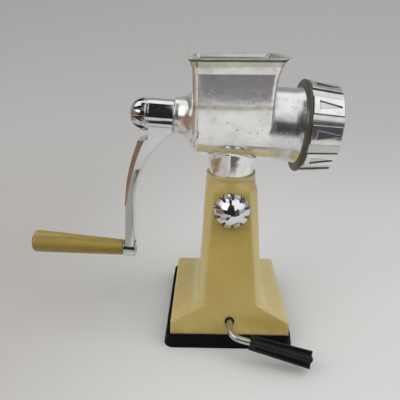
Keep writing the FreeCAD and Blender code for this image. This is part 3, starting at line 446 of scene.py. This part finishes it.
# Painted shade: the flutes, where other surface lies close, darkened nearly black.
flute_shade = chrome.crevice(FLUTE_WIDTH, closed=0.72, open_air=0.97)
plate = chrome.blend(smear * 0.4, PLATE, SMEARED_PLATE)
chrome.feed("Base Color", chrome.blend(flute_shade * 0.9, plate, PAINTED_FLUTE_SHADE))
chrome.feed("Roughness", 0.055 + smear * 0.06 + hairline * 0.02 + flute_shade * 0.2)
chrome.bump(chrome.noise(45, 2), PLATE_WAVES, soft)
plated = ("crank_arm", "crank_nut", "clamp_knob", "nut_washer")
for piece in plated:
    wear(piece, chrome)
print("chrome on", plated)

# %% [markdown]
# ## Gold enamel
# The pedestal is sprayed and baked. Its sides and tops are painted paler, the right-facing tops most, as the
# light that falls on them, and its edges paler still as painted highlights; low down, grease and dust leave
# it browner. Painting an image over it would need unwrapping. Instead the softened normal finds the sides and
# the tops, the edge mask finds the edges, and height finds the grime. A faint fine noise in the bump is the
# orange-peel skin of sprayed paint.

# %% Enamel
SPRAYED = paint(186, 161, 84)
SPRAYED_PALE = paint(194, 170, 93)
PAINTED_SHEEN = paint(222, 209, 158)
GRIMY = paint(128, 106, 58)
PAINTED_EDGE_HIGHLIGHT = paint(228, 216, 168)
GRIME_HEIGHTS = (0.014, 0.05)
EDGE_ROUNDING = 0.0032
SHEEN_ROUNDING = 0.006
ORANGE_PEEL = 0.00004

enamel = Finish("gold_enamel", IOR=1.5, Coat_Roughness=0.14)
soft = enamel.soft_edges(EDGE_ROUNDING)
# Painted highlight: edges are painted paler where the rounded normal leaves the face's own.
edge_highlight = enamel.edge_mask(soft)
cloud = enamel.noise(22, 4)
broad = enamel.soft_edges(SHEEN_ROUNDING)
sideways = enamel.dot(broad, (1, 0, 0))
sides = enamel.step(sideways * sideways, 0.05, 0.7)
tops = enamel.step(enamel.dot(broad, (0, 0, 1)), 0.45, 0.95)
# Painted light: sides and tops, the right-facing tops most, are painted paler as lit sheen.
sheen_share = sides * 0.6 + tops * (0.08 + enamel.step(sideways, 0.0, 0.4) * 0.3)
low_down = 1 - enamel.step(enamel.coordinate("Z"), *GRIME_HEIGHTS)
grime = low_down * enamel.step(enamel.noise(70, 4), 0.35, 0.75)
coat = enamel.blend(enamel.step(cloud, 0.3, 0.7), SPRAYED, SPRAYED_PALE)
coat = enamel.blend(sheen_share, coat, PAINTED_SHEEN)
coat = enamel.blend(grime * 0.35, coat, GRIMY)
enamel.feed("Base Color", enamel.blend(edge_highlight * 0.5, coat, PAINTED_EDGE_HIGHLIGHT))
enamel.feed("Roughness", 0.36 + grime * 0.2 + (cloud - 0.5) * 0.08)
enamel.feed("Coat Weight", 0.55 - grime * 0.4)
enamel.bump(enamel.noise(620, 2), ORANGE_PEEL, soft)
wear("base_housing", enamel)
print("enamel on the pedestal, grime up to", round(GRIME_HEIGHTS[1] * 1000), "mm above the table")

# %% [markdown]
# ## Gold plastic
# The crank's grip is moulded plastic in a colour near the enamel. Pigment that isn't fully stirred leaves
# long streaks in the direction the plastic flowed, which is along the grip. A wave texture would draw
# streaks too, but evenly spaced ones. A noise that is squeezed along X gives them the uneven look of a real
# moulding.

# %% Grip plastic
GRIP_EDGE = 0.0006
GRIP_RELIEF = 0.00006
ALONG_GRIP = (0.06, 1, 1)
GOLD_DEEP = paint(138, 116, 46)
GOLD_LIGHT = paint(162, 140, 64)
HANDLED = paint(118, 97, 46)

streaky = Finish("gold_plastic", IOR=1.49, Coat_Roughness=0.2)
soft = streaky.soft_edges(GRIP_EDGE)
streak = streaky.noise(160, 3, ALONG_GRIP)
handling = streaky.noise(90, 4)
pigment = streaky.blend(streaky.step(streak, 0.32, 0.68), GOLD_DEEP, GOLD_LIGHT)
hand_dirt = streaky.step(handling, 0.5, 0.8) * 0.3
streaky.feed("Base Color", streaky.blend(hand_dirt, pigment, HANDLED))
streaky.feed("Roughness", 0.33 + (handling - 0.5) * 0.15)
streaky.feed("Coat Weight", 0.15 + streak * 0.1)
streaky.bump(streak * 0.6 + streaky.noise(700, 2) * 0.4, GRIP_RELIEF, soft)
wear("crank_grip", streaky)
print("streaked plastic on the crank's grip")

# %% [markdown]
# ## Dark pieces: collar, rubber and black plastic
# Three dark materials that must not look alike. The collar ring is an olive-grey plastic with a waxy gloss.
# The pad is rubber: nearly black, dull, and dusty on top. The lever's grip is a hard black plastic with a
# fine moulded grain. Three separate recipes would say the same thing three times. One function makes them
# all from a colour, its dust, a roughness and a grain, because only those differ.

# %% Dark finishes
MOULD_EDGE = 0.0007


def moulded(name, colour, dust, dust_share, roughness, grain_scale, grain_depth, shine=1.5):
    """A moulded plastic or rubber, with dust on its flats and paler, worn edges; shine is its IOR."""
    finish = Finish(name, IOR=shine)
    soft = finish.soft_edges(MOULD_EDGE)
    worn = finish.edge_mask(soft)
    grain = finish.noise(grain_scale, 2)
    settled = finish.step(finish.noise(75, 5), 0.42, 0.78)
    finish.feed("Base Color", finish.blend(settled * dust_share + worn * dust_share, colour, dust))
    finish.feed("Roughness", roughness + settled * 0.12 + (grain - 0.5) * 0.1)
    finish.bump(grain, grain_depth, soft)
    return finish


collar = moulded("collar_plastic", paint(68, 66, 54), dust=paint(108, 105, 88), dust_share=0.35,
                 roughness=0.34, grain_scale=500, grain_depth=0.00004)
rubber = moulded("black_rubber", paint(8, 8, 9), dust=paint(34, 33, 32), dust_share=0.15,
                 roughness=0.55, grain_scale=900, grain_depth=0.00006, shine=1.18)
black = moulded("black_plastic", paint(17, 17, 19), dust=paint(54, 55, 58), dust_share=0.22,
                roughness=0.42, grain_scale=1100, grain_depth=0.00005, shine=1.35)
wear("collar_ring", collar)
wear("base_pad", rubber)
wear("lever_grip", black)
wear("lever_bush", black)
print("dark finishes:", [finish.material.name for finish in (collar, rubber, black)])

# %% [markdown]
# ## Plain steel, brass and nylon
# The lever's rod is drawn steel wire: bright, with lines along its length. Screws, plate and knife are the
# same metal, so they share it. The clamp's threaded bush is brass, and the small bearings are white nylon.
# We could dress these pieces one by one. The model's record already says what each is made of, so we ask
# it.

# %% Small metals and nylon
DRAWN_EDGE = 0.0004
DRAWN_LINES = 0.00003


def drawn_metal(name, colour, stain, roughness, stretch):
    """Metal with fine lines, along the axis in which the noise is stretched, and a bloom of stain."""
    finish = Finish(name, Metallic=1.0)
    soft = finish.soft_edges(DRAWN_EDGE)
    lines = finish.noise(700, 2, stretch)
    bloom = finish.step(finish.noise(110, 4), 0.45, 0.8)
    finish.feed("Base Color", finish.blend(bloom * 0.45, colour, stain))
    finish.feed("Roughness", roughness + (lines - 0.5) * 0.16 + bloom * 0.1)
    finish.bump(lines, DRAWN_LINES, soft)
    return finish


small_finishes = {
    "steel": drawn_metal("drawn_steel", paint(200, 199, 196), stain=paint(150, 146, 138),
                         roughness=0.26, stretch=(0.15, 1, 1)),
    "brass": drawn_metal("brass", paint(214, 182, 110), stain=paint(150, 116, 62),
                         roughness=0.3, stretch=(1, 1, 0.2)),
    "white_nylon": moulded("white_nylon", paint(224, 221, 210), dust=paint(196, 190, 172), dust_share=0.3,
                           roughness=0.42, grain_scale=600, grain_depth=0.00003),
}
slot_of = {part["node"]: part["material_slot"] for part in frame["record"]["subparts"]}
small_pieces = {piece: slot for piece, slot in slot_of.items() if slot in small_finishes}
for piece, slot in small_pieces.items():
    wear(piece, small_finishes[slot])
print("steel, brass or nylon on", len(small_pieces), "pieces")

# %% [markdown]
# ## The suction diaphragm
# Under the pad sits a rubber diaphragm. The lever pulls its middle up, and the thin air it leaves behind
# holds the grinder to the table. The model has a plain turned disc there, while real ones are moulded with
# rings that let them flex. A bump in the rubber's finish would only fake the rings, and its outline would
# stay plain. So we draw a profile with small ridges, from the centre to the rim.

# %% Diaphragm's profile
CUP_RIM_Z = 0.0012
CUP_LIFT = 0.0038
CUP_RADIUS = 0.0519
CUP_FLAT = 0.018
CUP_SHOULDER = 0.041
RIDGES = 5
RIDGE_RISE = 0.0004


def cup_height(radius):
    """Height of the diaphragm's underside: raised in the middle, level at the rim, ridged in between."""
    share = min(max((CUP_SHOULDER - radius) / (CUP_SHOULDER - CUP_FLAT), 0.0), 1.0)
    smooth = share * share * (3 - 2 * share)
    ridge = RIDGE_RISE * (1 - cos(2 * pi * RIDGES * share)) / 2
    return CUP_RIM_Z + CUP_LIFT * smooth + ridge


print("underside", cup_height(CUP_RADIUS), "m at the rim,", cup_height(0), "m in the middle")

# %% [markdown]
# ## Turning the diaphragm
# A round moulding is a profile spun round an axis. Blender's Screw modifier does that too; the spin tool of
# bmesh leaves a plain mesh behind, which is what other programs want. The new piece stands for the plain
# disc, and its rim stays with the base.

# %% Diaphragm
CUP_THICK = 0.0024
CUP_CLEAR = 0.0001
PROFILE_STEPS = 46
SPIN_STEPS = 96


def turned_cup():
    radii = [CUP_RADIUS * k / PROFILE_STEPS for k in range(PROFILE_STEPS + 1)]
    under = [(radius, cup_height(radius)) for radius in radii]
    over = [(radius, z + CUP_THICK - CUP_CLEAR) for radius, z in reversed(under)]
    mesh = bmesh.new()
    ring = [mesh.verts.new((radius, 0, z)) for radius, z in under + over]
    edges = [mesh.edges.new(pair) for pair in zip(ring, ring[1:])]
    bmesh.ops.spin(mesh, geom=ring + edges, cent=(0, 0, 0), axis=(0, 0, 1), angle=2 * pi, steps=SPIN_STEPS)
    bmesh.ops.remove_doubles(mesh, verts=mesh.verts, dist=1e-6)
    bmesh.ops.recalc_face_normals(mesh, faces=mesh.faces)
    for face in mesh.faces:
        face.smooth = True
    data = bpy.data.meshes.new("suction_diaphragm")
    mesh.to_mesh(data)
    mesh.free()
    piece = bpy.data.objects.new("suction_diaphragm", data)
    bpy.context.scene.collection.objects.link(piece)
    return piece


diaphragm = turned_cup()
diaphragm.data.materials.append(rubber.material)
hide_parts("suction_cup")
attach(diaphragm, "base")
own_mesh(diaphragm)
print("diaphragm of", len(diaphragm.data.polygons), "faces")

# %% [markdown]
# ## The sweep
# A portrait of metal is a portrait of its room. The grinder stands on pale paper that runs forward to the
# edge of the table and curves up behind. A floor and a wall would meet in a line across the picture; one
# sheet with a long bend shows no corner and no horizon. The paper's colour is painted greyer on the left and
# towards the back, as painted shade where less light falls.

# %% Paper sweep
FLOOR_FRONT = -1.45
FLOOR_BACK = 0.35
CURVE = 1.25
WALL_TOP = 2.4
HALF_WIDTH = 4.5
PAPER_LEFT_SHADED = paint(180, 176, 172)
PAPER_RIGHT = paint(213, 213, 212)
PAPER_FAR_SHADED = paint(192, 190, 188)
FIBRE = paint(212, 211, 210)


def sheet(name, rows, finish):
    """A sheet through rows of corner points, as part of the studio."""
    mesh = bmesh.new()
    rows = [[mesh.verts.new(corner) for corner in row] for row in rows]
    for low, high in zip(rows, rows[1:]):
        mesh.faces.new((low[0], low[1], high[1], high[0])).smooth = True
    data = bpy.data.meshes.new(name)
    mesh.to_mesh(data)
    mesh.free()
    data.materials.append(finish.material)
    piece = bpy.data.objects.new(name, data)
    bpy.context.scene.collection.objects.link(piece)
    return piece


def strip(x0, x1, places):
    """Rows of corner points from one side to the other, through (y, z) places."""
    return [[(x0, y, z), (x1, y, z)] for y, z in places]


paper = Finish("studio_paper", Roughness=0.9)
# Painted shade: the paper's colour is greyer on the left and towards the back.
shaded_paper = paper.blend(paper.step(paper.coordinate("X"), -0.32, 0.04), PAPER_LEFT_SHADED, PAPER_RIGHT)
shaded_paper = paper.blend(paper.step(paper.coordinate("Y"), 0.0, 0.8), shaded_paper, PAPER_FAR_SHADED)
paper.feed("Base Color", paper.blend(paper.noise(400, 3) * 0.25, shaded_paper, FIBRE))
angles = [radians(degrees) for degrees in range(0, 91, 5)]
bend = [(FLOOR_BACK + CURVE * sin(angle), CURVE - CURVE * cos(angle)) for angle in angles]
path = [(FLOOR_FRONT, 0.0)] + bend + [(FLOOR_BACK + CURVE, WALL_TOP)]
sheet("paper_sweep", strip(-HALF_WIDTH, HALF_WIDTH, path), paper)
print("sweep from", FLOOR_FRONT, "to", FLOOR_BACK + CURVE, "m,", WALL_TOP, "m high")

# %% [markdown]
# ## Cards that only metal sees
# Chrome without a dark stripe in it looks like grey paint. Product photographers hang black cards, called
# flags, for this, out of the picture. In Blender a card needn't even be hidden round a corner: we switch
# off its visibility for the camera, for soft light and for shadows, so that it shows in reflections alone.

# %% Card maker
BLACK = paint(12, 11, 13)
CARD_FLECK = paint(90, 88, 86)


def reflector(name, rows, colour):
    """A coloured card that only shows in reflections."""
    finish = Finish(name, Roughness=0.8)
    finish.feed("Base Color", finish.blend(finish.noise(60, 3) * 0.1, colour, CARD_FLECK))
    piece = sheet(name, rows, finish)
    piece.visible_camera = False
    piece.visible_diffuse = False
    piece.visible_shadow = False


print("cards show in reflections only; black is", [round(v, 4) for v in BLACK[:3]])

# %% [markdown]
# ## Two softboxes
# The room is lit by a small softbox on the left and a large, stronger one high on the right. A sun or a
# point lamp would leave hard, tiny highlights; an area lamp gives the broad ones that buffed metal wants.
# Each gets a black back, because a lamp in Blender lets the ceiling behind it shine through in reflections.

# %% Softboxes
LIT_POINT = Vector((0, 0, 0.15))
LAMP_DISTANCE = 2.3
BACK_GAP = 0.03


def softbox(name, azimuth, elevation, side, watts):
    """A square lamp in a direction: azimuth from the viewer's side towards +X, elevation from the table."""
    level = cos(radians(elevation))
    way = Vector((sin(radians(azimuth)) * level, -cos(radians(azimuth)) * level, sin(radians(elevation))))
    lamp = bpy.data.lights.new(name, "AREA")
    lamp.shape = "SQUARE"
    lamp.size = side
    lamp.energy = watts
    box = bpy.data.objects.new(name, lamp)
    box.location = LIT_POINT + way * LAMP_DISTANCE
    box.rotation_mode = "QUATERNION"
    box.rotation_quaternion = (-way).to_track_quat("-Z", "Y")
    box.visible_camera = False
    bpy.context.scene.collection.objects.link(box)
    half = side / 2
    back = strip(-half, half, [(-half, BACK_GAP), (half, BACK_GAP)])
    back = [[box.location + box.rotation_quaternion @ Vector(corner) for corner in row] for row in back]
    reflector(name + "_back", back, BLACK)
    return box


lamps = [softbox("softbox_left", azimuth=-50, elevation=38, side=1.6, watts=14),
         softbox("softbox_right", azimuth=42, elevation=56, side=3.2, watts=31)]
print("softboxes at", [[round(v, 2) for v in lamp.location] for lamp in lamps])

# %% [markdown]
# ## Reading reflections backwards
# Where do the cards go? A mirror answers that: follow a ray from the camera to the metal and on. The
# hopper's front leans out and looks down, so the dark patch in it is the ground beyond the table's edge.
# The crank's bevel sees something brown on the left, and its arm a grey strip of table. The black bands on
# hub, barrel and nut are the dark side of the room, in front. Cards on the paper lie a few millimetres over
# it, so the two don't mix.

# %% Cards
STAND = -0.76
LEAN = -0.92
TALL = 1.35
ON_PAPER = 0.004
ON_CARD = 0.005
ON_TOP = 0.006
brown_path = [(-0.5, ON_PAPER), (-0.85, ON_PAPER), (-0.85, 0.42)]

cards = {
    "flag_left": (strip(-0.55, -0.09, [(STAND, 0.10), (LEAN, TALL)]), BLACK),
    "flag_tall": (strip(-0.09, 0.22, [(STAND, ON_PAPER), (LEAN, TALL)]), BLACK),
    "flag_over": (strip(-0.42, -0.05, [(LEAN, TALL), (-0.50, 1.55), (0.05, 1.60)]), BLACK),
    "flag_right": (strip(0.22, 0.42, [(STAND, ON_PAPER), (-0.80, 0.42)]), paint(92, 95, 104)),
    "flag_high": (strip(0.42, 0.66, [(STAND, ON_PAPER), (-0.82, 0.64)]), paint(80, 82, 90)),
    "dark_ground": (strip(-0.08, 0.60, [(-0.52, ON_PAPER), (STAND, ON_PAPER)]), paint(84, 82, 86)),
    "flag_low": (strip(-0.135, -0.07, [(-0.17, ON_PAPER), (-0.47, ON_PAPER)]), BLACK),
    "grey_card": (strip(-0.24, -0.135, [(-0.07, ON_PAPER), (-0.40, ON_PAPER)]), paint(158, 158, 152)),
    "flag_sliver": ([[(-0.150, -0.27, ON_CARD), (-0.13, -0.27, ON_CARD)],
                     [(-0.166, -0.40, ON_CARD), (-0.13, -0.40, ON_CARD)]], BLACK),
    "red_card": (strip(0.112, 0.128, [(-0.47, ON_TOP), (-0.74, ON_TOP)]), paint(150, 74, 66)),
    "brown_card": ([[(x, -0.55, z), (x, 0.45, z)] for x, z in brown_path], paint(148, 113, 88)),
}
for name, (rows, colour) in cards.items():
    reflector(name, rows, colour)
print(len(cards), "cards:", list(cards))

# %% [markdown]
# ## The room
# What no card covers is the room itself, and its light comes from the world. A picture of a real room could
# be wrapped round the scene, but four plain blends are enough here: pale overhead like a white ceiling,
# warm and dimmer on the left, cooler on the right, and dark high up in front. Where the camera looks
# straight at the room, it is pale like the paper.

# %% Room
ROOM_STRENGTH = 1.3
WARM_SIDE = paint(128, 110, 96)
COOL_SIDE = paint(146, 148, 152)
CEILING = paint(226, 227, 227)
DARK_FRONT = paint(30, 29, 32)
SEEN_ROOM = paint(166, 164, 162)

room = bpy.data.worlds.new("dim_room")
room.use_nodes = True
bpy.context.scene.world = room
air = Bench(room.node_tree)
look = air.node("ShaderNodeTexCoord", output="Generated")
rightward = air.step(air.dot(look, (1, 0, 0)), -0.5, 0.5)
overhead = air.step(air.dot(look, (0, 0, 1)), 0.10, 0.55)
in_front = air.step(air.dot(look, (-0.12, -0.90, 0.42)), 0.50, 0.82)
walls = air.blend(rightward, WARM_SIDE, COOL_SIDE)
walls = air.blend(overhead, walls, CEILING)
walls = air.blend(in_front, walls, DARK_FRONT)
walls = air.blend(air.node("ShaderNodeLightPath", output="Is Camera Ray"), walls, SEEN_ROOM)
background = room.node_tree.nodes["Background"]
plug(room.node_tree, background.inputs["Color"], walls)
background.inputs["Strength"].default_value = ROOM_STRENGTH
print("room of", len(room.node_tree.nodes), "nodes")

# %% [markdown]
# ## The camera
# The photographer stood close, a little left of the middle, and looked down by about twenty-three degrees.
# A camera could be aimed by a constraint, but then its roll would be lost. A camera is a place, three
# directions and a lens: we build the directions from the tilt, the turn and a slight roll, and set them as
# the columns of its matrix.

# %% Camera
CAMERA_PLACE = Vector((-0.02356, -0.38472, 0.29410))
TILT = radians(22.61)
TURN = radians(1.11)
ROLL = radians(0.24)
FOCAL_PIXELS = 402.16
IMAGE_PIXELS = 400
SENSOR = 36.0
NEAREST = 0.01

forward = Vector((-sin(TURN) * cos(TILT), cos(TURN) * cos(TILT), -sin(TILT)))
level_right = Vector((cos(TURN), sin(TURN), 0))
level_up = level_right.cross(forward)
rolled_right = level_right * cos(ROLL) + level_up * sin(ROLL)
rolled_up = level_up * cos(ROLL) - level_right * sin(ROLL)

lens = bpy.data.cameras.new("portrait_lens")
lens.sensor_width = SENSOR
lens.lens = FOCAL_PIXELS / IMAGE_PIXELS * SENSOR
lens.clip_start = NEAREST
camera = bpy.data.objects.new("portrait_camera", lens)
bpy.context.scene.collection.objects.link(camera)
directions = Matrix((rolled_right, rolled_up, -forward)).transposed()
camera.matrix_world = Matrix.Translation(CAMERA_PLACE) @ directions.to_4x4()
bpy.context.scene.camera = camera
bpy.context.scene.view_settings.view_transform = "Standard"
print("lens", round(lens.lens, 2), "mm")

# %% [markdown]
# ## Size
# Dressing must not change the object.
